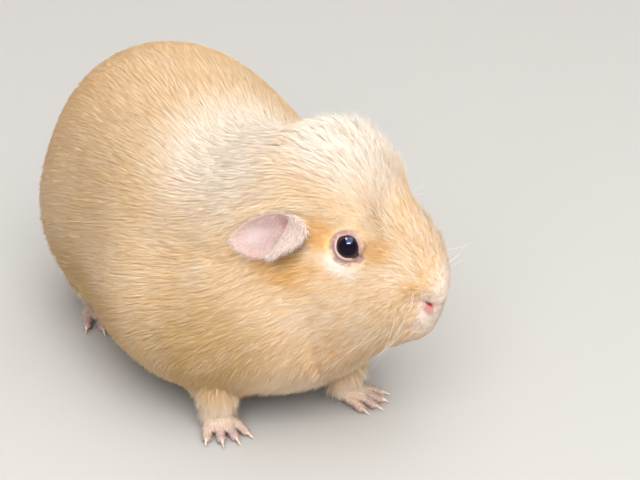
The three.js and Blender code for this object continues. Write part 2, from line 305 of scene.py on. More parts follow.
# The depth of the coat in millimetres, at millimetres back from the nose.
COAT_DEPTH = ([0, 8, 25, 45, 75, 100], [0.3, 0.9, 1.7, 2.8, 4.3, 5.2])
CROWN_DEEPER, BRIDGE_DEEPER = 0.9, 0.4


def coat_depth(points):
    """How deep the coat lies over each place, in millimetres."""
    arcs, _, angles = along_spine(points)
    depth = np.interp(arcs, *COAT_DEPTH)
    depth += CROWN_DEEPER * crown_share(arcs, angles) + BRIDGE_DEEPER * bridge_share(arcs, angles)
    return depth * (0.35 + 0.65 * smooth_step(off_eyes(to_head(points)), 7, 16))


# The cuts between the solids are closed by letting each swell a little, and one new surface is
# drawn round them all and smoothed, less on the head than on the trunk.
SWELL = 0.3 * MM
BODY_VOXEL = 1.4 * MM
BODY_ROUNDS, INSET_ROUNDS = 60, 6
FLESH = ["trunk", "neck", "head", "lower_jaw", "nose", "eye_left", "eye_right"]
FLESH += [part + side for part in ("foreleg_", "thigh_") for side in ("left", "right")]
flesh_bm = bmesh.new()
for node in FLESH:
    piece_bm = bmesh.new()
    piece_bm.from_mesh(frame["nodes"][node].data)
    bmesh.ops.remove_doubles(piece_bm, verts=piece_bm.verts, dist=1e-6)
    piece_bm.normal_update()
    for vertex in piece_bm.verts:
        vertex.co += vertex.normal * SWELL
    flesh_bm.from_mesh(mesh_of(node + "_swollen", piece_bm))


def softer_behind_head(points):
    return 1 - 0.8 * smooth_step(-along_spine(points)[0], -85, -60)


body_mesh = remeshed(mesh_of("flesh", flesh_bm), BODY_VOXEL, BODY_ROUNDS, softer_behind_head)
body_points = read_points(body_mesh)
inset = coat_depth(body_points) * smooth_step(body_points[:, 2] / MM, -2, 16)
body_points -= read_points(body_mesh, "normal") * (inset * MM)[:, None]
move_points(body_mesh, body_points)
body_mesh = smoothed(body_mesh, INSET_ROUNDS)

# The mesh is made finer round the eyes and on the muzzle, where it carries the folds.
NOSE_PAD = np.array([35, 0, -12])
FINER = ((15, 14), (12, 11))
body_bm = bmesh.new()
body_bm.from_mesh(body_mesh)
for eye_reach, nose_reach in FINER:
    places = to_head(np.array([v.co for v in body_bm.verts]))
    chosen = (off_eyes(places) < eye_reach) | (length_of(places - NOSE_PAD) < nose_reach)
    body_bm.verts.index_update()
    edges = [e for e in body_bm.edges if chosen[e.verts[0].index] and chosen[e.verts[1].index]]
    bmesh.ops.subdivide_edges(body_bm, edges=edges, cuts=1, smooth=0.0, use_grid_fill=True)
bmesh.ops.triangulate(body_bm, faces=[f for f in body_bm.faces if len(f.verts) > 4])
body_mesh = mesh_of("body_skin", body_bm)

# Lids: an almond opening in the skin over each eyeball, with thick bare margins and a crease at
# each corner. Angles round the opening run from the nose over the crown's side to the back.
EYE_RADIUS = 5.2
EYE_WAY = (0.08, 0.92, 0.45)
LID_OPEN, FRONT_CORNER, BACK_CORNER, UPPER_LID = 51, 40, 7, 7
FRONT_CORNER_AT, BACK_CREASE_AT = -8, -168
LID_THICK = 0.65
LID_SUNK = 0.45
LID_WIDTH = 22
CREASE_WIDE, CREASE_DEEP = 6, 0.6


def eye_frame(sign):
    """The outward way of an eye and, square to it, the ways to the nose and to the crown."""
    out = unit(np.array([EYE_WAY[0], EYE_WAY[1] * sign, EYE_WAY[2]]))
    front = unit(np.array([1, 0, -0.12]) - out * (out @ np.array([1, 0, -0.12])))
    return out, front, np.cross(front, out) * sign


def past_lid(in_head, sign):
    """Degrees from each place to the lid's edge, over the eyeball, the way to it from the eye's
    middle, and its angle round the opening. Places within the opening are below 0."""
    out, front, up = eye_frame(sign)
    off = in_head - eye_place(sign)
    ways = unit(off)
    polar = np.degrees(np.arccos(np.clip(ways @ out, -1, 1)))
    round_it = np.degrees(np.arctan2(off @ up, off @ front))
    opening = LID_OPEN + FRONT_CORNER * hump((round_it, FRONT_CORNER_AT, 14))
    opening += BACK_CORNER * hump((np.abs(round_it), 180, 20))
    opening -= UPPER_LID * hump((round_it, 60, 35))
    return polar - opening, ways, round_it


in_head = to_head(read_points(body_mesh))
for sign in (1, -1):
    eye = eye_place(sign)
    beyond, ways, round_it = past_lid(in_head, sign)
    rise = smooth_step(beyond, -2.5, 4) * (LID_THICK + LID_SUNK)
    radius = EYE_RADIUS - LID_SUNK + rise - smooth_step(-beyond, 2, 10) * 0.6
    crease = hump((round_it, FRONT_CORNER_AT, CREASE_WIDE)) * (1 - smooth_step(beyond, 12, 30))
    crease += hump((round_it, BACK_CREASE_AT, CREASE_WIDE)) * (1 - smooth_step(beyond, 35, 60))
    radius -= CREASE_DEEP * crease * smooth_step(beyond, 0, 5)
    hold = 1 - smooth_step(beyond, LID_WIDTH * 0.8, LID_WIDTH * 2.4)
    hold *= 1 - smooth_step(length_of(in_head - eye), 8, 13)
    in_head += (eye + ways * radius[:, None] - in_head) * hold[:, None]

# The sides of the nose fall back from its tip. Then come the nostrils, the groove below them and
# the line of the mouth.
NOSE_TAPER = 2.6
NOSTRIL = np.array([34, 5.7, -10.4])
MUZZLE_FRONT = 28
NOSTRIL_DEEP, MOUTH_DEEP, FOLD_DEEP, PINK_PROUD = 1.8, 0.2, 0.4, 0.45
back_by = smooth_step(np.abs(in_head[:, 1]), 1.5, 8) * hump((in_head[:, 2], -10, 4.5))
in_head[:, 0] -= NOSE_TAPER * back_by * smooth_step(in_head[:, 0], 23, 31)


def nostril_depth(in_head):
    """How near each place is to the comma of a nostril, from 0 to 1."""
    across = np.abs(in_head[:, 1]) - NOSTRIL[1]
    climb = in_head[:, 2] - NOSTRIL[2] - 0.45 * across
    hole = hump((across, -0.2, 1.35), (climb, 0, 0.8))
    tail = 0.6 * hump((across, 1.4, 1.3), (climb, 0, 0.5))
    return np.maximum(hole, tail) * (in_head[:, 0] > MUZZLE_FRONT)


def nose_fold(in_head):
    """How near each place is to the crease under the tip of the nose, between the nostrils."""
    x, y, z = in_head.T
    return hump((z - NOSTRIL[2], 0.3, 0.5)) * smooth_step(-np.abs(y), -6, -4.5) * (x > MUZZLE_FRONT)


def nose_pink(in_head):
    """1 on the bare skin round each nostril and below it, falling to 0 around it."""
    x, y, z = in_head.T
    half_width = np.clip(2.5 + 0.45 * (z + 11.5), 0.8, 2.7)
    wedge = hump((np.abs(y), 5.8, half_width), (z, -12.2, 2.2))
    return np.clip(1.35 * wedge, 0, 1) * (x > MUZZLE_FRONT)


def mouth_line(in_head):
    """How near each place is to the split of the upper lip or the line of the mouth."""
    x, y, z = in_head.T
    groove = hump((y, 0, 0.5)) * smooth_step(z, -20.5, -19) * smooth_step(-z, 12, 14)
    lips = hump((z + 19.4 + 0.1 * np.abs(y) + 0.07 * (x - 33), 0, 0.55))
    lips *= smooth_step(x, 21, 25) * (np.abs(y) < 12)
    return np.maximum(groove * (x > MUZZLE_FRONT), lips * (x > 20))


before_dents = in_head
move_points(body_mesh, from_head(in_head))
body_normals = read_points(body_mesh, "normal")
dents = nostril_depth(in_head) * NOSTRIL_DEEP + mouth_line(in_head) * MOUTH_DEEP
dents += nose_fold(in_head) * FOLD_DEEP
dents -= PINK_PROUD * nose_pink(in_head)
move_points(body_mesh, from_head(in_head) - body_normals * (dents * MM)[:, None])

# What the coat does at each place of the skin: how bare it is, and its tufts for each square
# millimetre, their length, their width and how far their tips stand off, in millimetres at
# millimetres back from the nose.
NOSE_FRONT = (37, 0, -6)
TAIL = np.array([-97, 0.6, 22]) * MM
FALL = ([0, 30, 60, 100, 160], [0.2, 0.5, 0.5, 0.35, 0.35])
TUFTS = ([0, 20, 45, 80, 120], [13, 11, 7, 3.2, 2.1])
TUFT_LONG = ([0, 8, 20, 38, 60, 85, 110, 160, 230], [2.4, 3.4, 5.0, 7, 10, 13, 15, 16.5, 17])
TUFT_WIDE = ([0, 20, 45, 90, 140], [0.24, 0.25, 0.28, 0.5, 0.62])
CROWN_LIFT = ([26, 33, 38, 43, 52, 62], [1, 1.2, 1.15, 0.75, 0.65, 0.9])


def lie_of_coat(points, normals):
    """The way the hair lies: out from the nose, back over the head and body and down the sides,
    and in over the rump to the place of the tail."""
    arcs, ways, angles = along_spine(points)
    side = np.abs(np.sin(angles))
    from_nose = unit(to_head(points) - NOSE_FRONT) @ head_axes
    face = 1 - smooth_step(arcs, 20, 75)
    rump = smooth_step(arcs, 150, 215)
    down = np.interp(arcs, *FALL) * side
    down += 0.7 * hump((length_of(np.abs(to_head(points)) - [30, 31, 8]), 0, 13))
    down += 0.6 * smooth_step(-points[:, 2] / MM, -42, -26) * smooth_step(points[:, 0] / MM, 20, 50)
    down += 1.6 * (1 - smooth_step(points[:, 2] / MM, 14, 34)) * (np.abs(points[:, 1]) > 8 * MM)
    lie = ways * (1 - 0.8 * face - 0.9 * rump)[:, None] + from_nose * (1.3 * face)[:, None]
    lie += unit(TAIL - points) * rump[:, None] - down[:, None] * [0, 0, 1]
    return unit(lie - normals * (lie * normals).sum(1)[:, None])


def facing(round_it, angle, low, high):
    """1 on the part of a lid at that angle round the opening, falling to 0 beside it."""
    return smooth_step(np.cos(np.radians(round_it - angle)), low, high)


def body_coat(mesh):
    points = read_points(mesh)
    in_head = to_head(points)
    arcs, _, angles = along_spine(points)
    top = np.cos(angles)
    bare, lid, rim = np.zeros((3, len(points)))
    thick, long, wide = (np.interp(arcs, *table) for table in (TUFTS, TUFT_LONG, TUFT_WIDE))
    lift = coat_depth(points) * (1 + 0.5 * (1 - smooth_step(arcs, 0, 16)))
    standing = np.maximum(crown_share(arcs, angles), bridge_share(arcs, angles))
    standing = standing * smooth_step(top, 0.6, 0.97) * np.interp(arcs, [40, 60], [1.0, 0.6])
    lift *= 1 + (np.interp(arcs, *CROWN_LIFT) - 1) * smooth_step(top, 0.6, 0.97)
    muzzle = 1 - smooth_step(arcs, 14, 30)
    ragged = 0.12 + 0.22 * standing + 0.1 * (arcs < 90) + 0.25 * muzzle
    for sign in (1, -1):
        beyond, _, round_it = past_lid(in_head, sign)
        off_eye = length_of(in_head - eye_place(sign))
        below = facing(round_it, -40, 0.1, 0.9)
        # The margins of the lids are bare and lilac, with a paler edge low behind: partly their own
        # colour and partly a painted highlight on the wet edge.
        near = 1 - smooth_step(off_eye - 0.5 * below, 6.8, 8)
        lid = np.maximum(lid, near * (1 - smooth_step(beyond - 9 * below, LID_WIDTH, LID_WIDTH + 10)))
        low_behind = 0.15 + 0.85 * facing(round_it, -125, -0.3, 0.5)
        rim = np.maximum(rim, 0.85 * near * low_behind * hump((beyond, 0.5, 2.2)))
        # The edge of the hair round them is scalloped, and close and short.
        waves = np.radians(round_it)
        beyond = beyond + 2.0 * np.sin(waves * 9) + 1.5 * np.sin(waves * 17) - 9 * below
        near = 1 - smooth_step(off_eye - 0.5 * below, 6.6, 7.8)
        hairy = 0.38 * facing(round_it, 70, 0.0, 0.8) * smooth_step(beyond, 4, 10)
        margin = 1 - smooth_step(beyond, LID_WIDTH - 7, LID_WIDTH + 8)
        bare = np.maximum(bare, near * (1 - hairy) * margin)
        close = (1 - smooth_step(off_eye, 9, 14)) * (1 - smooth_step(beyond, LID_WIDTH, LID_WIDTH + 55))
        long *= 1 - 0.6 * close
        lift *= 1 - 0.5 * close
        thick *= 1 + 0.5 * close
    hole, pink, fold = (part(before_dents) for part in (nostril_depth, nose_pink, nose_fold))
    bare = np.maximum(np.maximum(bare, pink), np.clip(2 * hole, 0, 1))
    bare = np.maximum(bare, fold * 0.5)
    long = long * (1 - 0.6 * (1 - smooth_step(points[:, 2] / MM, 10, 30)))
    thick = thick * np.where(top < -0.75, 0.6, 1.0) * (1 + 0.35 * standing)
    off_nostril = np.hypot(np.abs(before_dents[:, 1]) - NOSTRIL[1], before_dents[:, 2] - NOSTRIL[2] + 0.8)
    flush = (0.06 + 0.26 * (1 - smooth_step(off_nostril, 0.8, 2.8))) * pink
    return {
        "bare": np.clip(bare, 0, 1),
        "thick": thick,
        "long": long,
        "wide": wide,
        "lift": lift,
        "ragged": ragged,
        "standing": standing,
        # The crease under the nose tip is painted a little redder, as painted shade in the fold.
        "raw": np.maximum(np.maximum(np.clip(1.3 * hole, 0, 1), flush), 0.25 * fold),
        "lid": lid,
        "rim": rim,
        "comb": lie_of_coat(points, read_points(mesh, "normal")),
        "spot": np.stack([arcs, angles / math.pi], axis=1),
    }


skin_parts = [(body_mesh, body_coat(body_mesh))]


# ------------------------------------------------------------------ ears
# Each ear is a thin drooping petal of pink skin: a shallow dish, with its front edge folded over
# into a broad lobe that carries a short pale down. It grows from a narrow root behind the eye.

# The middle of each ear, its long way and its wide way, in the head's own axes.
EARS = {
    "left": ((-20.1, 32.5, -8.6), (-14, 14, -19), (10, 7, -12)),
    "right": ((-23.2, -27.8, -11.4), (-18, -4, -22), (9, -9, -10)),
}
EAR_HALF_LENGTH, EAR_HALF_WIDTH = 15.5, 7.7
# Its outline: how far the edge is from the middle at each angle, as a share of an ellipse's. The
# angles run from the hanging tip over the lower edge, the front corner and the upper edge.
EAR_ANGLES = [0, 35, 60, 80, 105, 147, 180, 205, 237, 270, 300, 330, 360]
EAR_REACH = [1.03, 1.03, 1.12, 1.17, 1.03, 0.9, 0.88, 0.82, 0.8, 0.86, 0.84, 0.9, 1.03]
EAR_THICK = 1.0
EAR_CUP = 3.2
EAR_VOXEL, EAR_ROUNDS = 0.47, 4
EAR_ROOT, EAR_ROOT_RADIUS = (-7.5, -1.0, -4.4), 3.6
CANAL_AT, CANAL_SIZE, CANAL_DEEP = (-4.2, -2.4), (2.2, 1.6), 1.1


def ear_fold(along, across):
    """How far a place is behind the edge of the folded lobe; the lobe is below 0."""
    return (along + 5.9) * 0.803 - (across + 1.4) * 0.597


def ear_shape(s, t):
    """Where a place of the petal lies, in millimetres along its long way, its wide way and out.
    s runs from its front corner at -1 to its hanging tip at 1, t from its upper edge to its lower."""
    reach = np.interp(np.degrees(np.arctan2(t, s)) % 360, EAR_ANGLES, EAR_REACH)
    along, across = s * reach * EAR_HALF_LENGTH, t * reach * EAR_HALF_WIDTH
    rim = np.hypot(s, t)
    out = EAR_CUP * (rim**2 - 0.45)
    fold = ear_fold(along, across)
    lobe = smooth_step(-fold, -0.5, 1.2)
    out += lobe * (2.2 - 0.1 * np.clip(-fold - 1.5, 0, 9) ** 2) - 1.2 * hump((fold, 1.2, 1.1))
    out += 0.5 * hump((rim, 0.94, 0.07)) * (1 - lobe)
    out += 0.25 * np.sin(across * 1.15 + along * 0.25) * (1 - rim) * (1 - lobe)
    canal = np.hypot((along - CANAL_AT[0]) / CANAL_SIZE[0], (across - CANAL_AT[1]) / CANAL_SIZE[1])
    out -= CANAL_DEEP * hump((canal, 0, 1)) * (1 - lobe)
    return along, across, out


def ear_axes(side):
    """The middle of an ear, and its long way, its wide way and its way out from the head."""
    middle, long_way, wide_way = (np.array(p, float) for p in EARS[side])
    long_way = unit(long_way)
    out_way = unit(np.cross(long_way, wide_way))
    out_way *= np.sign(out_way[1] * middle[1])
    wide_way = np.cross(out_way, long_way)
    return middle, long_way, wide_way * np.sign(-wide_way[2]), out_way


def make_ear(side):
    middle, long_way, wide_way, out_way = ear_axes(side)
    ear_bm = bmesh.new()
    bmesh.ops.create_grid(ear_bm, x_segments=46, y_segments=34, size=1)
    for vertex in ear_bm.verts:
        x, y, _ = vertex.co
        s, t = x * math.sqrt(1 - y * y / 2), y * math.sqrt(1 - x * x / 2)
        along, across, out = (float(value) for value in ear_shape(np.float64(s), np.float64(t)))
        vertex.co = Vector(middle + long_way * along + wide_way * across + out_way * out)
    ear_bm.normal_update()
    bmesh.ops.solidify(ear_bm, geom=ear_bm.faces[:], thickness=EAR_THICK)
    root = middle + long_way * EAR_ROOT[0] + out_way * EAR_ROOT[2] + wide_way * EAR_ROOT[1]
    at_root = Matrix.Translation(root)
    bmesh.ops.create_icosphere(ear_bm, subdivisions=2, radius=EAR_ROOT_RADIUS, matrix=at_root)
    bmesh.ops.recalc_face_normals(ear_bm, faces=ear_bm.faces)
    mesh = remeshed(mesh_of("ear", ear_bm), EAR_VOXEL, EAR_ROUNDS)
    points = read_points(mesh)
    off = points - middle
    along, across = off @ long_way, off @ wide_way
    rim = np.hypot(along / EAR_HALF_LENGTH, across / EAR_HALF_WIDTH)
    lobe = smooth_step(-ear_fold(along, across), -0.4, 1.0)
    inside = (read_points(mesh, "normal") @ out_way) > 0.1
    edge = smooth_step(rim, 0.6, 0.95)
    lower_edge = edge * smooth_step(across / EAR_HALF_WIDTH, -0.4, 0.1)
    downy = np.where(inside, np.maximum(lobe, 0.15 + 0.75 * lower_edge), 0.3)
    canal = hump((along, CANAL_AT[0], 2.4), (across, CANAL_AT[1], 1.8))
    pale_spot = hump((along, 8, 5), (across, 0, 3))
    radial = unit(along[:, None] * long_way + 1.6 * across[:, None] * wide_way)
    spread = radial * (1 - 0.8 * lobe)[:, None] + (0.55 * long_way + 0.85 * wide_way) * lobe[:, None]
    level = 0.25 + 0.5 * inside + 0.12 * across / EAR_HALF_WIDTH
    move_points(mesh, from_head(points))
    return mesh, {
        "bare": np.clip(1.0 - 0.25 * lobe - 0.15 * edge, 0, 1),
        "raw": 0.2 * canal * inside * (1 - lobe),
        "lid": np.full(len(points), 0.3),
        "rim": 0.5 * inside * (1 - edge) * (1 - lobe) * pale_spot,
        "thick": 6.5 * downy,
        "long": 1.8 + 1.2 * lobe - 0.5 * edge * (1 - lobe),
        "wide": 0.15 + 0.1 * lobe,
        "lift": 0.55 + 0.25 * edge + 0.35 * lobe,
        "ragged": np.full(len(points), 0.35),
        "standing": np.zeros(len(points)),
        "comb": unit(spread) @ head_axes,
        "spot": np.stack([0.5 + 0.45 * along / EAR_HALF_LENGTH, level], axis=1),
    }


skin_parts += [make_ear(side) for side in EARS]


# ------------------------------------------------------------------ feet
# Small pink feet with short pale hair on top: four toes in front and three behind, each with two
# joints, and bare padded soles that stand flat.

FOOT_VOXEL, FOOT_ROUNDS = 0.56, 3
SOLE_CLEAR = 0.05
# Each foot: the degrees it turns out on the left and on the right, the middle of its sole, its
# swells as middles and radii, its toes as side, spread in degrees and length, where the toes
# start, and their radius.
FEET = {
    "forepaw_": (
        {"left": 38, "right": -6},
        4,
        [((3.2, 0, 3.6), (7.4, 6.0, 3.5)), ((0.5, 0, 7.0), (5.4, 5.4, 6.0)), ((0.8, 0, 13), (5.6, 5.6, 8))],
        [(-5.1, -21, 7.6), (-1.7, -7, 8.4), (1.7, 7, 8.4), (5.1, 21, 7.6)],
        7.4,
        1.9,
    ),
    "hind_foot_": (
        {"left": 12, "right": -12},
        -2,
        [((-9, 0, 3.9), (6.6, 4.9, 3.9)), ((0, 0, 3.6), (9.0, 4.7, 3.5)), ((7.5, 0, 3.4), (6.4, 5.8, 3.3)),
         ((-8, 0, 9), (5.2, 5.0, 7.5))],
        [(-4.1, -13, 9.4), (0, 0, 10.6), (4.1, 13, 9.4)],
        11.2,
        2.1,
    ),
}
# Swells along a toe: how far along it, how high, and their share of its radius.
TOE_SWELLS = ((0.0, 3.0, 1.0), (0.28, 3.2, 0.98), (0.55, 2.5, 0.92), (0.8, 1.9, 0.9))
TOE_TIP_HEIGHT = 2.1
soles = {mount["name"]: Vector(mount["pos_m"]) for mount in frame["record"]["mounts"]}
claw_places = []


def ball(bm, middle, radii, turn=0.0):
    """A smooth ellipsoid in millimetres, turned about the upright."""
    place = Matrix.Translation(middle) @ Matrix.Rotation(turn, 4, "Z") @ Matrix.Diagonal((*radii, 1))
    bmesh.ops.create_icosphere(bm, subdivisions=3, radius=1, matrix=place)


def add_toe(bm, foot, start, spread, length, radius):
    """Swells in a line, lowered to the floor at the tip, and the place of the claw."""
    way = Vector((math.cos(spread), math.sin(spread), 0))
    for share, height, size in TOE_SWELLS:
        middle = start + way * (length * share) + Vector((0, 0, height - start.z))
        ball(bm, middle, (length * 0.2, radius * size, radius * size * 0.92), spread)
    tip = start + way * length + Vector((0, 0, TOE_TIP_HEIGHT - start.z))
    claw_places.append((foot @ tip, (foot.to_3x3() @ way).normalized(), radius))


def make_foot(kind, side, row):
    toe_out, sole, swells, toes, toe_start, radius = FEET[kind]
    turn = Matrix.Rotation(math.radians(toe_out[side]), 4, "Z")
    origin = soles[kind + side + "_sole"] / MM - turn @ Vector((sole, 0, 0))
    foot = Matrix.Translation(origin) @ turn
    foot_bm = bmesh.new()
    for middle, radii in swells:
        ball(foot_bm, middle, radii)
    for across, spread, length in toes:
        start = Vector((toe_start - abs(across) * 0.42, across, 3.0))
        add_toe(foot_bm, foot, start, math.radians(spread), length, radius)
    mesh = remeshed(mesh_of(kind + side, foot_bm), FOOT_VOXEL, FOOT_ROUNDS)
    points = read_points(mesh)
    upward = read_points(mesh, "normal")[:, 2]
    points[:, 2] = np.maximum(points[:, 2], SOLE_CLEAR)
    toe_share = smooth_step(points[:, 0], toe_start - 3, toe_start + 6)
    wrist = smooth_step(points[:, 2], 5, 9)
    topside = np.maximum(smooth_step(upward, -0.1, 0.5), wrist)
    nowhere = np.zeros(len(points))
    spin = np.array(turn.to_3x3())
    level = 0.125 + 0.25 * row + points[:, 1] / 100
    move_points(mesh, (points @ spin.T + np.array(origin)) * MM)
    return mesh, {
        "bare": np.clip(1 - 0.45 * topside * (1 - toe_share) - 0.6 * wrist, 0, 1),
        "raw": nowhere,
        "lid": nowhere,
        "rim": nowhere,
        "standing": nowhere,
        "thick": (4.2 + 1.5 * wrist) * topside * (1 - 0.45 * toe_share),
        "long": 3.0 + 4.0 * wrist - 1.2 * toe_share,
        "wide": 0.2 + 0.12 * wrist,
        "lift": 0.6 + 1.0 * wrist,
        "ragged": np.full(len(points), 0.3),
        "comb": unit([1, 0, -0.4] - wrist[:, None] * [0.6, 0, 1.6]) @ spin.T,
        "spot": np.stack([0.5 + points[:, 0] / 50, level], axis=1),
    }


places_of_feet = [(kind, side) for side in ("left", "right") for kind in FEET]
skin_parts += [make_foot(kind, side, row) for row, (kind, side) in enumerate(places_of_feet)]

skin_bm = bmesh.new()
for mesh, _ in skin_parts:
    skin_bm.from_mesh(mesh)
skin_mesh = mesh_of("skin", skin_bm)
coat_map = {key: np.concatenate([coat[key] for _, coat in skin_parts]) for key in skin_parts[0][1]}
skin = object_of("skin", skin_mesh)
for key in ("bare", "raw", "lid", "rim"):
    layer = skin_mesh.attributes.new(key, "FLOAT", "POINT")
    layer.data.foreach_set("value", coat_map[key].astype(np.float32))
skin_mesh.polygons.foreach_set("use_smooth", [True] * len(skin_mesh.polygons))
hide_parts(*[n for n in frame["nodes"] if not n.startswith("eye_")])
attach(skin, "root")


# ------------------------------------------------------------------ eyes
# Each eyeball is a wet dark ball: a wide black pupil in a nearly black iris with a thin brown rim,
# and a little pinkish white beyond it that shows only in the corners of the lids.

BALL_RADIUS = 5.15
CORNEA_RISE = 0.22
CORNEA_REACH = math.radians(48)
EYE_BLACK, EYE_BROWN, EYE_WHITE = (0.006, 0.003, 0.01), (0.06, 0.028, 0.02), (0.75, 0.6, 0.58)
# Colours at shares of a right angle off the eye's axis.
EYE_STOPS = [(0.0, EYE_BLACK), (0.36, EYE_BLACK), (0.5, EYE_BROWN), (0.76, EYE_BROWN), (0.86, EYE_WHITE)]


def attribute(tree, name):
    node = tree.nodes.new("ShaderNodeAttribute")
    node.attribute_name = name
    return node.outputs["Fac"]


def ramp(tree, value, stops):
    """A colour for each value, in smooth steps through (place, colour) stops."""
    node = tree.nodes.new("ShaderNodeValToRGB")
    node.color_ramp.interpolation = "EASE"
    while len(node.color_ramp.elements) < len(stops):
        node.color_ramp.elements.new(0.5)
    for element, (place, colour) in zip(node.color_ramp.elements, stops):
        element.position = place
        element.color = (*colour, 1)
    tree.links.new(value, node.inputs["Fac"])
    return node.outputs["Color"]


eye_paint, eye_tree, eye_shader = painted("wet_eye", 0.2)
eye_colour = ramp(eye_tree, attribute(eye_tree, "off_axis"), EYE_STOPS)
eye_tree.links.new(eye_colour, eye_shader.inputs["Base Color"])
eye_shader.inputs["Coat Weight"].default_value = 1.0
eye_shader.inputs["Coat Roughness"].default_value = 0.02
eye_shader.inputs["Coat IOR"].default_value = 1.22
for side, sign in (("left", 1), ("right", -1)):
    out = Vector(eye_frame(sign)[0] @ head_axes)
    ball_bm = bmesh.new()
    bmesh.ops.create_uvsphere(ball_bm, u_segments=48, v_segments=32, radius=BALL_RADIUS * MM)
    for vertex in ball_bm.verts:
        off_axis = vertex.co.angle(Vector((0, 0, 1)))
        bulge = math.cos(min(1, off_axis / CORNEA_REACH) * math.pi / 2) ** 2
        vertex.co *= 1 + bulge * CORNEA_RISE / BALL_RADIUS
    place = Matrix.Translation(eye_middles[side]) @ out.to_track_quat("Z", "Y").to_matrix().to_4x4()
    bmesh.ops.transform(ball_bm, matrix=place, verts=ball_bm.verts)
    mesh = mesh_of("eye_ball_" + side, ball_bm)
    gaze = mesh.attributes.new("off_axis", "FLOAT", "POINT")
    aims = [math.degrees((v.co - eye_middles[side]).angle(out)) / 90 for v in mesh.vertices]
    gaze.data.foreach_set("value", aims)
    mesh.polygons.foreach_set("use_smooth", [True] * len(mesh.polygons))
    mesh.materials.append(eye_paint)
    eyeball = object_of("eye_ball_" + side, mesh)
    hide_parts("eye_" + side)
    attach(eyeball, "root")


# ------------------------------------------------------------------ claws
# One short curved claw of pale horn at the tip of each toe. They are drawn out from a small ring,
# thinner and lower step by step, and sit in the skin of the toe.

CLAW_LENGTH = 4.6
CLAW_IN_TOE = 0.3
CLAW_RADIUS = 0.34
CLAW_STEPS, CLAW_SIDES = 7, 8
HORN_COLOURS = [(0.3, (0.62, 0.45, 0.36)), (0.7, (0.82, 0.7, 0.6))]
HORN_GRAIN = 900


def stalk(bm, places, radii, sides):
    """A tapering stalk through the places, in metres, closed at its root and pointed at its end."""
    way = (places[1] - places[0]).normalized()
    turn = Matrix.Translation(places[0]) @ way.to_track_quat("Z", "Y").to_matrix().to_4x4()
    ring = bmesh.ops.create_circle(bm, cap_ends=True, segments=sides, radius=radii[0], matrix=turn)["verts"]
    bmesh.ops.reverse_faces(bm, faces=list({face for vert in ring for face in vert.link_faces}))
    edges = list({edge for vert in ring for edge in vert.link_edges})
    for here, there, was, size in zip(places, places[1:], radii, radii[1:]):
        made = bmesh.ops.extrude_edge_only(bm, edges=edges)["geom"]
        ring = [item for item in made if isinstance(item, bmesh.types.BMVert)]
        edges = [item for item in made if isinstance(item, bmesh.types.BMEdge)]
        new_way = (there - here).normalized()
        bend = way.rotation_difference(new_way).to_matrix()
        for vert in ring:
            vert.co = there + bend @ (vert.co - here) * (size / was)
        way = new_way
    bmesh.ops.pointmerge(bm, verts=ring, merge_co=places[-1])


def stalks_piece(name, bm, paint):
    """The finished piece of all the stalks."""
    bmesh.ops.recalc_face_normals(bm, faces=bm.faces)
    mesh = mesh_of(name, bm)
    mesh.polygons.foreach_set("use_smooth", [True] * len(mesh.polygons))
    mesh.materials.append(paint)
    piece = object_of(name, mesh)
    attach(piece, "root")


def place_in(tree):
    return tree.nodes.new("ShaderNodeTexCoord").outputs["Object"]


def noisy(tree, position, features_per_metre, detail=2.0):
    node = tree.nodes.new("ShaderNodeTexNoise")
    node.inputs["Scale"].default_value = features_per_metre
    node.inputs["Detail"].default_value = detail
    tree.links.new(position, node.inputs["Vector"])
    return node.outputs["Fac"]


claw_bm = bmesh.new()
for tip, way, toe_radius in claw_places:
    steps = np.linspace(0, 1, CLAW_STEPS)
    places = []
    for share in steps:
        drop = -0.2 * share - 1.15 * share**2
        places.append((tip + way * (CLAW_LENGTH * (share - CLAW_IN_TOE)) + Vector((0, 0, drop))) * MM)
    radii = [toe_radius * CLAW_RADIUS * MM * (1 - 0.85 * share**1.5) for share in steps]
    stalk(claw_bm, places, radii, CLAW_SIDES)
horn_paint, horn_tree, horn_shader = painted("pale_horn", 0.35, 0.1)
horn_colour = ramp(horn_tree, noisy(horn_tree, place_in(horn_tree), HORN_GRAIN), HORN_COLOURS)
horn_tree.links.new(horn_colour, horn_shader.inputs["Base Color"])
stalks_piece("claws", claw_bm, horn_paint)


# ------------------------------------------------------------------ colours of skin and coat
# The same markings colour the hair and the skin under it: buff, with tan over the trunk, an ivory
# mantle on the shoulders, a cream crown, a milky muzzle, chin and patch under each eye, and a
# deeper gold round the eyes and under the ears. Painted shade goes in among them: a dark-gold
# shadow in the crease under each ear, and ochre on the shoulders and low on the flanks that is
# partly the coat's own colour and partly painted shade on the lower body.

BUFF, CREAM, GOLD = (0.96, 0.72, 0.47), (0.99, 0.91, 0.82), (0.87, 0.5, 0.19)
TAN, OCHRE_AND_LOW_SHADE, UNDER_EAR_SHADOW = (0.73, 0.51, 0.295), (0.58, 0.37, 0.15), (0.42, 0.22, 0.06)
IVORY, MILK, ROSY = (0.99, 0.87, 0.74), (0.87, 0.8, 0.74), (0.88, 0.7, 0.65)
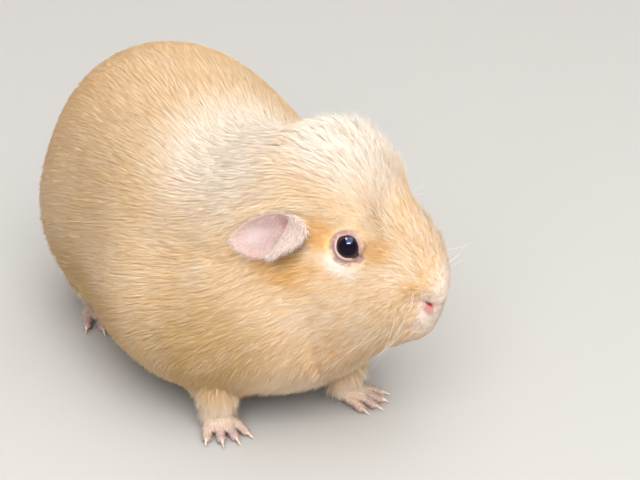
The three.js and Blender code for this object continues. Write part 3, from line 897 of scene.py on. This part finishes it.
# Each patch: its colour, its middle and its reach in millimetres of the head, and its strength.
FACE_PATCHES = [
    (MILK, (36, 0, -5), (15, 12, 19), 0.95),
    (MILK, (28, 0, -28), (22, 13, 10), 0.85),
    (MILK, (37, 5, -17), (11, 9, 9), 0.9),
    (MILK, (20, 0, 8), (18, 10, 10), 0.3),
    (GOLD, (9.5, 17, 2), (7, 7, 8), 0.9),
    (GOLD, (-10, 24, -3), (10, 8, 8), 1.0),
    (GOLD, (-16, 29, -20), (18, 10, 10), 1.0),
    (MILK, (1, 22, -9.5), (10, 6, 5), 0.9),
    (CREAM, (3, 19, 9), (6, 5, 4), 0.5),
    (CREAM, (-27, 0, 17), (34, 30, 18), 0.88),
    (GOLD, (14, 17, -16), (15, 9, 9), 0.2),
    (GOLD, (25.5, 12, -6.5), (6.5, 5, 5), 0.5),
    (ROSY, (34, 6, -10.5), (8, 7, 7), 0.8),
    # A painted dark-gold shadow in the crease under each ear.
    (UNDER_EAR_SHADOW, (-14.5, 26, -15), (6, 7, 14), 0.9),
]
# The same on the trunk, in millimetres of the whole animal.
BODY_PATCHES = [
    (TAN, (-25, 0, 45), (105, 85, 105), 0.9),
    (IVORY, (30, 2, 91), (50, 48, 35), 1.0),
    # Deeper ochre on the shoulders and low on the flanks: partly the coat's own colour, partly painted shade
    # on the lower body.
    (OCHRE_AND_LOW_SHADE, (60, -32, 34), (44, 26, 30), 0.85),
    (OCHRE_AND_LOW_SHADE, (50, 40, 34), (44, 26, 30), 0.85),
    (OCHRE_AND_LOW_SHADE, (-10, -48, 22), (70, 24, 28), 0.6),
    (OCHRE_AND_LOW_SHADE, (-10, 48, 22), (70, 24, 28), 0.6),
    (GOLD, (-70, 0, 72), (60, 64, 54), 0.5),
    (CREAM, (58, 2, 20), (26, 20, 16), 0.5),
    (CREAM, (56, 27, 4), (16, 14, 12), 0.7),
    (CREAM, (56, -26, 4), (16, 14, 12), 0.7),
    (CREAM, (-42, 30, 3), (24, 14, 10), 0.6),
    (CREAM, (-47, -31, 3), (24, 14, 10), 0.6),
]


def mixed(tree, share, first, second, way="MIX"):
    """A mix of two colours, each a socket or three numbers, by a share from 0 to 1."""
    node = tree.nodes.new("ShaderNodeMix")
    node.data_type = "RGBA"
    node.blend_type = way
    for value, socket in ((share, node.inputs[0]), (first, node.inputs[6]), (second, node.inputs[7])):
        if isinstance(value, bpy.types.NodeSocket):
            tree.links.new(value, socket)
        elif isinstance(value, tuple):
            socket.default_value = (*value, 1)
        else:
            socket.default_value = value
    return node.outputs[2]


def scaled(tree, value, low, high, new_low, new_high):
    """A value carried from one range to another in a smooth step."""
    node = tree.nodes.new("ShaderNodeMapRange")
    node.interpolation_type = "SMOOTHSTEP"
    for name, number in zip(("From Min", "From Max", "To Min", "To Max"), (low, high, new_low, new_high)):
        node.inputs[name].default_value = number
    tree.links.new(value, node.inputs["Value"])
    return node.outputs["Result"]


def patched(tree, position, colour, shade, middle, turn, reach, strength):
    """A colour with a soft patch of a shade over it, whole at its middle and nothing at its edge."""
    to_patch = tree.nodes.new("ShaderNodeMapping")
    to_patch.vector_type = "TEXTURE"
    to_patch.inputs["Location"].default_value = middle
    to_patch.inputs["Rotation"].default_value = turn
    to_patch.inputs["Scale"].default_value = [side * MM for side in reach]
    tree.links.new(position, to_patch.inputs["Vector"])
    distance = tree.nodes.new("ShaderNodeVectorMath")
    distance.operation = "LENGTH"
    tree.links.new(to_patch.outputs["Vector"], distance.inputs[0])
    share = scaled(tree, distance.outputs["Value"], 0.35, 1.05, strength, 0.0)
    return mixed(tree, share, colour, shade)


markings = bpy.data.node_groups.new("coat_markings_and_shade", "ShaderNodeTree")
markings.interface.new_socket("Position", in_out="INPUT", socket_type="NodeSocketVector")
markings.interface.new_socket("Color", in_out="OUTPUT", socket_type="NodeSocketColor")
group_in = markings.nodes.new("NodeGroupInput")
group_out = markings.nodes.new("NodeGroupOutput")
position = group_in.outputs["Position"]
warmth = scaled(markings, noisy(markings, position, 55), 0.38, 0.68, 0.0, 0.3)
colour = mixed(markings, warmth, BUFF, GOLD)
paleness = scaled(markings, noisy(markings, position, 34, 1.0), 0.45, 0.7, 0.0, 0.28)
colour = mixed(markings, paleness, colour, CREAM)
head_turn = Matrix([list(axis) for axis in head_axes]).transposed().to_euler()
for shade, middle, reach, strength in FACE_PATCHES:
    for side in (1, -1) if middle[1] else (1,):
        place = from_head([middle[0], middle[1] * side, middle[2]])
        colour = patched(markings, position, colour, shade, place, head_turn, reach, strength)
for shade, middle, reach, strength in BODY_PATCHES:
    place = [side * MM for side in middle]
    colour = patched(markings, position, colour, shade, place, (0, 0, 0), reach, strength)
markings.links.new(colour, group_out.inputs["Color"])


def marked(tree):
    """The markings, with the shade painted in among them, at each place of a piece, and the place itself."""
    place = place_in(tree)
    group = tree.nodes.new("ShaderNodeGroup")
    group.node_tree = markings
    tree.links.new(place, group.inputs["Position"])
    return group.outputs["Color"], place


# Bare skin: pink, lilac on the lids with a paler edge that is partly a painted wet highlight, and
# raw red in the nostrils.
PINK, DEEP_PINK = (0.46, 0.34, 0.325), (0.4, 0.27, 0.26)
BLUSH, RAW_RED = (0.62, 0.22, 0.2), (0.3, 0.04, 0.045)
LILAC, PALE_AND_SHEEN = (0.42, 0.26, 0.24), (0.62, 0.52, 0.5)
PORES, PORE_STRENGTH, PORE_DEPTH = 1500, 0.25, 0.0002
skin_paint, skin_tree, skin_shader = painted("pink_skin", 0.55, 0.06)
skin_colour, skin_place = marked(skin_tree)
flush = scaled(skin_tree, noisy(skin_tree, skin_place, 700, 3.0), 0.3, 0.8, 0.0, 0.6)
pink = mixed(skin_tree, attribute(skin_tree, "lid"), mixed(skin_tree, flush, PINK, DEEP_PINK), LILAC)
pink = mixed(skin_tree, attribute(skin_tree, "rim"), pink, PALE_AND_SHEEN)
raw = attribute(skin_tree, "raw")
pink = mixed(skin_tree, scaled(skin_tree, raw, 0.0, 0.5, 0.0, 1.0), pink, BLUSH)
pink = mixed(skin_tree, scaled(skin_tree, raw, 0.5, 1.0, 0.0, 1.0), pink, RAW_RED)
# Under the hair the skin takes the markings tinted toward gold, a painted warm shade for the gaps between
# the tufts.
hide = mixed(skin_tree, 0.2, skin_colour, GOLD)
hide = mixed(skin_tree, attribute(skin_tree, "bare"), hide, pink)
skin_tree.links.new(hide, skin_shader.inputs["Base Color"])
skin_bump = skin_tree.nodes.new("ShaderNodeBump")
skin_bump.inputs["Strength"].default_value = PORE_STRENGTH
skin_bump.inputs["Distance"].default_value = PORE_DEPTH
skin_tree.links.new(noisy(skin_tree, skin_place, PORES, 3.0), skin_bump.inputs["Height"])
skin_tree.links.new(skin_bump.outputs["Normal"], skin_shader.inputs["Normal"])
skin_mesh.materials.append(skin_paint)

# Hair is painted darker and warmer towards its roots, as painted shade deep in the coat, and each
# tuft has its own tone, from a darker gold to cream.
ROOT_SHADOW_TINT, DARKER = (0.93, 0.71, 0.5), (0.74, 0.46, 0.22)
coat_paint, coat_tree, coat_shader = painted("soft_hair", 0.8)
hair, _ = marked(coat_tree)
root_shadow_share = scaled(coat_tree, attribute(coat_tree, "tip"), 0.0, 0.65, 0.9, 0.0)
hair = mixed(coat_tree, root_shadow_share, hair, ROOT_SHADOW_TINT, "MULTIPLY")
hair = mixed(coat_tree, scaled(coat_tree, attribute(coat_tree, "tone"), 0.45, 1.0, 0.0, 0.5), hair, CREAM)
hair = mixed(coat_tree, scaled(coat_tree, attribute(coat_tree, "tone"), 0.0, 0.5, 0.75, 0.0), hair, DARKER)
coat_tree.links.new(hair, coat_shader.inputs["Base Color"])

DOWN_WHITE, DOWN_BUFF = (0.9, 0.82, 0.77), (0.66, 0.48, 0.43)
down_paint, down_tree, down_shader = painted("pale_down", 0.8)
down_colour = mixed(down_tree, attribute(down_tree, "tone"), DOWN_BUFF, DOWN_WHITE)
down_tree.links.new(down_colour, down_shader.inputs["Base Color"])


# ------------------------------------------------------------------ coat
# Straight, soft, short hair that lies back over the body, in thin pointed tufts. It is very short
# and fine on the muzzle, and stands up a little on the forehead and crown.

rng = np.random.default_rng(20)
THINNED = 1.0
BODY, EAR_LEFT, EAR_RIGHT, FEET_PARTS = 0, 1, 2, (3, 4, 5, 6)
part_of_vertex = np.repeat(np.arange(len(skin_parts)), [len(mesh.vertices) for mesh, _ in skin_parts])
skin_points = read_points(skin_mesh)
skin_normals = read_points(skin_mesh, "normal")
body_count = len(body_mesh.vertices)


def tree_of(places, indices):
    """The places at the indices, to find the nearest of."""
    tree = KDTree(len(indices))
    for index in indices:
        tree.insert(places[index], int(index))
    tree.balance()
    return tree


# Under a hanging ear the hair keeps below it.
EAR_CLEAR = 1.4
UNDER_EAR, UNDER_EAR_REACH = [-22, 31, -13], 28
ear_tree = tree_of(skin_points, np.flatnonzero(np.isin(part_of_vertex, (EAR_LEFT, EAR_RIGHT))))
ceiling = np.full(len(skin_points), 99.0)
for index in np.flatnonzero(length_of(np.abs(to_head(skin_points)) - UNDER_EAR) < UNDER_EAR_REACH):
    if index < body_count:
        spot, _, gap = ear_tree.find(skin_points[index])
        over = (np.array(spot) - skin_points[index]) @ skin_normals[index]
        if over > 0.5 * gap:
            ceiling[index] = gap / MM - EAR_CLEAR
coat_map["lift"] = np.minimum(coat_map["lift"], np.maximum(ceiling, 0.3))

# Roots are spread evenly by the thickness of the coat.
skin_mesh.calc_loop_triangles()
corners = np.empty(len(skin_mesh.loop_triangles) * 3, np.int32)
skin_mesh.loop_triangles.foreach_get("vertices", corners)
corners = corners.reshape(-1, 3)
edge_a = skin_points[corners[:, 1]] - skin_points[corners[:, 0]]
edge_b = skin_points[corners[:, 2]] - skin_points[corners[:, 0]]
areas = length_of(np.cross(edge_a, edge_b)) / 2 / MM**2
furry = np.clip(1.15 - 1.2 * coat_map["bare"], 0, 1) * (part_of_vertex == BODY) + (part_of_vertex > BODY)
sown = areas * (coat_map["thick"] * furry)[corners].mean(1) * THINNED
total = np.cumsum(sown)
count = int(total[-1])
roots_at = np.searchsorted(total, (np.arange(count) + rng.random(count)) * total[-1] / count)
roots_at = np.minimum(roots_at, len(corners) - 1)
share_a, share_b = rng.random((2, count))
flip = share_a + share_b > 1
share_a, share_b = np.where(flip, 1 - share_a, share_a), np.where(flip, 1 - share_b, share_b)
shares = np.stack([1 - share_a - share_b, share_a, share_b], axis=1)


def at_roots(values):
    """Values of the skin's vertices, at the root of each tuft."""
    weights = shares if values.ndim == 1 else shares[:, :, None]
    return (values[corners[roots_at]] * weights).sum(1)


# A few thinner, longer hairs stand proud of the rest and soften its outline.
AWN_SHARE = 0.07
AWN_GROWTH = (1.2, 0.5, 1.2)
roots = at_roots(skin_points)
root_normals = unit(at_roots(skin_normals))
root_part = part_of_vertex[corners[roots_at, 0]]
lie = unit(at_roots(coat_map["comb"]))
long, wide, lift, ragged, standing = (
    at_roots(coat_map[key]) for key in ("long", "wide", "lift", "ragged", "standing")
)
long *= rng.uniform(0.75, 1.2, count)
wide *= rng.uniform(0.8, 1.2, count)
lift *= 1 + ragged * rng.uniform(-1.3, 1, count)
awn = rng.random(count) < AWN_SHARE
long, wide, lift = (np.where(awn, grow * size, size) for grow, size in zip(AWN_GROWTH, (long, wide, lift)))

# Tufts lean together into locks, and on the crown and the bridge whole locks stand up.
LOCK_SHARE = 0.12
LOCK_STAND = (-0.5, 0.75)
body_tufts = np.flatnonzero(root_part == BODY)
lock_heads = rng.choice(body_tufts, int(len(body_tufts) * LOCK_SHARE), replace=False)
lock_tree = tree_of(roots, lock_heads)
leader = np.array([lock_tree.find(place)[1] for place in roots[body_tufts]])
lift[body_tufts] *= 1 + standing[body_tufts] * rng.uniform(*LOCK_STAND, count)[leader]

# The lie wanders a little from place to place, in broad sways and in smaller ones.
SWAY_SPAN, CURL_SPAN = 0.014, 0.005
SWAY, CURL, STRAY = math.radians(18), math.radians(12), math.radians(5)
CURL_SHIFT = Vector((7, 3, 5))
body_tree = tree_of(skin_points, range(body_count))
swirl = [
    [noise.noise(place / SWAY_SPAN), noise.noise(place / CURL_SPAN + CURL_SHIFT)]
    for place in map(Vector, skin_points[:body_count])
]
swirl = np.concatenate([np.array(swirl) @ [SWAY, CURL], np.zeros(len(skin_points) - body_count)])


def turned(vectors, axes, angles):
    cosine, sine = np.cos(angles)[:, None], np.sin(angles)[:, None]
    return vectors * cosine + np.cross(axes, vectors) * sine


lie = unit(lie - root_normals * (lie * root_normals).sum(1)[:, None])
lie = turned(lie, root_normals, at_roots(swirl) + rng.normal(0, STRAY, count))


def laid(places, heights, ways):
    """Places set at a height over the skin, and the lie of the coat there."""
    near = np.array([body_tree.find(place)[1] for place in places])
    normals = skin_normals[near]
    over = ((places - skin_points[near]) * normals).sum(1)
    heights = np.minimum(heights, np.maximum(ceiling[near], 0.4))
    places = places + normals * (heights * MM - over)[:, None]
    ways = unit(coat_map["comb"][near] + 1.5 * ways)
    return places, unit(ways - normals * (ways * normals).sum(1)[:, None]), normals


# Each tuft has a root, a middle and a tip. Down takes its light from the front of its ear, as
# thin hair does.
MIDDLE_SHARE = 0.52
MIDDLE_LIFT = 0.72
DOWN_FRONT = 2.0
half = (long * MIDDLE_SHARE * MM)[:, None]
rest = (long * (1 - MIDDLE_SHARE) * MM)[:, None]
middles = roots + lie * half + root_normals * (0.75 * lift * MM)[:, None]
tips = middles + lie * rest + root_normals * (0.25 * lift * MM)[:, None]
middle_normals = root_normals.copy()
for part, side in ((EAR_LEFT, "left"), (EAR_RIGHT, "right")):
    on_ear = root_part == part
    middle_normals[on_ear] = unit(root_normals[on_ear] + DOWN_FRONT * ear_axes(side)[3] @ head_axes)
middles[body_tufts], onward, middle_normals[body_tufts] = laid(
    (roots + lie * half)[body_tufts], MIDDLE_LIFT * lift[body_tufts], lie[body_tufts]
)
tips[body_tufts], _, _ = laid(middles[body_tufts] + onward * rest[body_tufts], lift[body_tufts], onward)
pull = np.clip(1.4 * ragged[body_tufts] + 0.45 * standing[body_tufts], 0, 0.75)
pull = (rng.uniform(0.2, 1.2, len(body_tufts)) * pull)[:, None]
tips[body_tufts] += (tips[leader] - tips[body_tufts]) * pull
middles[body_tufts] += (middles[leader] - middles[body_tufts]) * (0.35 * pull)

# A fringe of hair hangs over the upper edge of each ear. Other hair that would cross the dish of
# an ear, an eye or its bare lid is left out.
FRINGE_SHARE = 0.55
FRINGE_LONG = 7.5
FRINGE_REACH, FRINGE_DEPTH = 0.9, 14
FRINGE_CLEAR, FRINGE_PROUD = 0.6, 0.5
EAR_RADIUS, EYE_CLEAR, FLOOR_CLEAR = 17, 7.6, 0.4
kept = np.ones(count, bool)
for side in EARS:
    middle, long_way, wide_way, out_way = ear_axes(side)
    off = to_head(roots) - middle
    along, across = off @ long_way / EAR_HALF_LENGTH, off @ wide_way / EAR_HALF_WIDTH
    off_centre = np.abs(along + 0.1)
    fading = FRINGE_SHARE * (1 - smooth_step(off_centre, 0.35, FRINGE_REACH))
    fringe = (root_part == BODY) & (np.abs(off @ out_way) < FRINGE_DEPTH) & (off_centre < FRINGE_REACH)
    fringe &= (across > -1.6) & (across < -0.8) & (rng.random(count) < fading)
    fringe = np.flatnonzero(fringe)
    long[fringe] = np.maximum(long[fringe], FRINGE_LONG)
    hang_along = along[fringe] + rng.uniform(0.2, 0.35, len(fringe))
    hang_across = rng.uniform(-1.1, -0.55, len(fringe))
    clear = np.array([float(ear_shape(s, t)[2]) for s, t in zip(hang_along, hang_across)]) + FRINGE_CLEAR
    hang = middle + np.outer(hang_along * EAR_HALF_LENGTH, long_way)
    hang += np.outer(hang_across * EAR_HALF_WIDTH, wide_way) + np.outer(clear, out_way)
    tips[fringe] = from_head(hang)
    proud = (out_way @ head_axes) * FRINGE_PROUD * MM
    middles[fringe] = (0.45 * roots + 0.55 * tips)[fringe] + root_normals[fringe] * MM + proud
    for places in (middles, tips):
        off = to_head(places) - middle
        over = np.hypot(off @ long_way / EAR_HALF_LENGTH - 0.1, off @ wide_way / EAR_HALF_WIDTH + 0.05) < 0.9
        over &= (root_part == BODY) & (length_of(off) < EAR_RADIUS)
        over[fringe] = False
        kept &= ~over
for sign in (1, -1):
    for places in (middles, tips):
        place_in_head = to_head(places)
        beyond, _, _ = past_lid(place_in_head, sign)
        near = length_of(place_in_head - eye_place(sign)) < EYE_CLEAR
        kept &= ~(near & (beyond < LID_WIDTH - 5))
kept &= tips[:, 2] > FLOOR_CLEAR * MM

# A long tuft bends at its middle. A short one is straight, with no ring of corners there.
LONG_TUFT = [(0, 3, 4, 1), (1, 4, 5, 2), (2, 5, 3, 0), (3, 6, 4), (4, 6, 5), (5, 6, 3), (0, 1, 2)]
SHORT_TUFT = [(0, 3, 1), (1, 3, 2), (2, 3, 0), (0, 1, 2)]
SHORT = 8.0
TUFT_FLAT, TUFT_TAPER = 0.6, 0.85
ROOT_DEPTH = 0.35
PATCH = 0.003


def drawn(name, chosen, spots, paint):
    """One piece of coat: a pointed three-sided tuft along each chosen path."""
    across = unit(np.cross(tips[chosen] - roots[chosen], middle_normals[chosen]))
    above = unit(np.cross(across, tips[chosen] - roots[chosen]))
    twist = rng.uniform(-0.6, 0.6, len(chosen))
    ring = []
    for corner in range(3):
        turn = twist + math.radians(90 + 120 * corner)
        side = np.cos(turn)[:, None] * across + TUFT_FLAT * np.sin(turn)[:, None] * above
        ring.append(side * (wide[chosen] * MM / 2)[:, None])
    sunk = roots[chosen] - root_normals[chosen] * (ROOT_DEPTH * MM)
    low = np.stack([sunk + side for side in ring], axis=1)
    high = np.stack([middles[chosen] + side * TUFT_TAPER for side in ring], axis=1)
    ends = tips[chosen][:, None]
    bent = long[chosen] > SHORT
    sets = []
    first = 0
    for faces, members, rings in (
        (LONG_TUFT, np.flatnonzero(bent), (low, high, ends)),
        (SHORT_TUFT, np.flatnonzero(~bent), (low, ends)),
    ):
        points = np.concatenate([ring[members] for ring in rings], axis=1)
        corners_each = points.shape[1]
        loops = np.array([corner for face in faces for corner in face])
        tufts = first + np.arange(len(members))[:, None] * corners_each
        shares_along = [0, 0, 0] + [MIDDLE_SHARE] * (corners_each - 4) + [1]
        sets.append((
            points.reshape(-1, 3),
            (loops + tufts).ravel(),
            np.tile([len(face) for face in faces], len(members)),
            np.repeat(members, corners_each),
            np.tile(shares_along, len(members)),
        ))
        first += points.shape[0] * corners_each
    points, loops, lengths, members, along = (np.concatenate(part) for part in zip(*sets))
    mesh = bpy.data.meshes.new(name)
    mesh.vertices.add(len(points))
    mesh.loops.add(len(loops))
    mesh.polygons.add(len(lengths))
    mesh.vertices.foreach_set("co", points.astype(np.float32).ravel())
    mesh.loops.foreach_set("vertex_index", loops.astype(np.int32))
    mesh.polygons.foreach_set("loop_start", (np.cumsum(lengths) - lengths).astype(np.int32))
    mesh.update(calc_edges=True)
    mesh.polygons.foreach_set("use_smooth", np.ones(len(lengths), bool))
    # Soft hair takes the light much as the body under it does, not as hard little blades.
    softness = (1.5 + 2.5 * standing[chosen[members]])[:, None]
    softened = read_points(mesh, "normal") + softness * middle_normals[chosen[members]]
    mesh.normals_split_custom_set_from_vertices(unit(softened))
    for key, values in (("tip", along), ("tone", tones[chosen[members]])):
        layer = mesh.attributes.new(key, "FLOAT", "POINT")
        layer.data.foreach_set("value", values.astype(np.float32))
    turn = np.arange(len(points)) % 3 / 3
    places = spots[members] + np.stack([turn, along], axis=1) * PATCH
    bake = mesh.uv_layers.new(name="OFBake")
    bake.uv.foreach_set("vector", places[loops].astype(np.float32).ravel())
    mesh.materials.append(paint)
    piece = object_of(name, mesh)
    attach(piece, "root")


# Tones go by locks on the face and more by single tufts behind, and fade on the back and crown.
BANDS = 6
LOCK_TONE = ([20, 60], [0.8, 0.4])
TONE_SPREAD = ([20, 45, 70, 120], [1.0, 0.85, 0.6, 0.45])
CROWN_CALM = 0.45
tones = rng.random(count)
root_arcs, _, root_angles = along_spine(roots)
together = np.interp(root_arcs[body_tufts], *LOCK_TONE)
tones[body_tufts] += (tones[leader] - tones[body_tufts]) * together
tones = 0.5 + (tones - 0.5) * np.interp(root_arcs, *TONE_SPREAD)
tones = 0.5 + (tones - 0.5) * (1 - CROWN_CALM * crown_share(root_arcs, root_angles))
for side, sign in (("left", 1), ("right", -1)):
    chosen = np.flatnonzero(kept & (root_part == BODY) & (root_angles * sign >= 0))
    chosen = chosen[np.argsort(root_arcs[chosen], kind="stable")]
    for band, members in enumerate(np.array_split(chosen, BANDS)):
        low, high = root_arcs[members[0]], root_arcs[members[-1]]
        u = 0.99 * (root_arcs[members] - low) / (high - low)
        v = 0.99 * np.abs(root_angles[members]) / math.pi
        drawn(f"coat_{side}_{band + 1}", members, np.stack([u, v], axis=1), coat_paint)
root_spots = at_roots(coat_map["spot"])
for name, parts, paint in (
    ("down_ear_left", (EAR_LEFT,), down_paint),
    ("down_ear_right", (EAR_RIGHT,), down_paint),
    ("coat_feet", FEET_PARTS, coat_paint),
):
    members = np.flatnonzero(kept & np.isin(root_part, parts))
    drawn(name, members, root_spots[members], paint)


# ------------------------------------------------------------------ whiskers
# Long white bristles in rows on each side of the muzzle, with a few over each eye and on the
# chin. Each is a thin tapering stalk that bends back and sags a little.

WHISKER_RADIUS = 0.065
WHISKER_STEPS, WHISKER_SIDES = 11, 5
WHISKER_STRAY = 0.22
WHISKER_BEND = 0.38
WHISKER_IN_SKIN = 0.4
LEFT_SHORTER = 0.85
# Each group: where it roots in the head, the spread of its rows, its way, length and count.
WHISKERS = [
    ((26, 11, -7), (5, 2, 2), (0.6, 0.7, 0.5), 24, 5),
    ((25, 12, -14), (5, 2, 3), (0.05, 0.55, -0.85), 30, 7),
    ((28, 10, -19), (3.5, 2, 3), (0.0, 0.35, -1.0), 24, 6),
    ((7, 14, 10), (2.5, 1.5, 1.5), (0.6, 0.5, 0.9), 18, 3),
]
BRISTLE_COLOURS = [(0.3, (0.86, 0.82, 0.76)), (0.7, (0.97, 0.96, 0.94))]
BRISTLE_GRAIN = 300
whisker_rng = np.random.default_rng(5)
whisker_bm = bmesh.new()
for sign, shorter in ((1, LEFT_SHORTER), (-1, 1)):
    for root, spread, way, length, number in WHISKERS:
        for _ in range(number):
            shift = whisker_rng.uniform(-1, 1, 3)
            start = (np.array(root) + shift * spread) * [1, sign, 1]
            nearest = body_tree.find(from_head(start))[1]
            place, normal = skin_points[nearest], skin_normals[nearest]
            stray = WHISKER_STRAY * whisker_rng.normal(0, 1, 3)
            aim = unit(np.array(way) * [1, sign, 1] + stray) @ head_axes
            reach = length * whisker_rng.uniform(0.6, 1.15) * MM * shorter
            bend = unit(np.array([-1.0, 0.25 * sign, -0.45])) @ head_axes
            steps = np.linspace(0, 1, WHISKER_STEPS)
            places = []
            for share in steps:
                bow = (aim * share + bend * WHISKER_BEND * share**2) * reach
                places.append(Vector(place + bow - normal * WHISKER_IN_SKIN * MM * (1 - share)))
            thickness = WHISKER_RADIUS * MM * min(1, length / 26)
            stalk(whisker_bm, places, [thickness * (1 - 0.9 * share) for share in steps], WHISKER_SIDES)
bristle_paint, bristle_tree, bristle_shader = painted("white_bristle", 0.5, 0.05)
bristle_noise = noisy(bristle_tree, place_in(bristle_tree), BRISTLE_GRAIN)
bristle_colour = ramp(bristle_tree, bristle_noise, BRISTLE_COLOURS)
bristle_tree.links.new(bristle_colour, bristle_shader.inputs["Base Color"])
stalks_piece("whiskers", whisker_bm, bristle_paint)
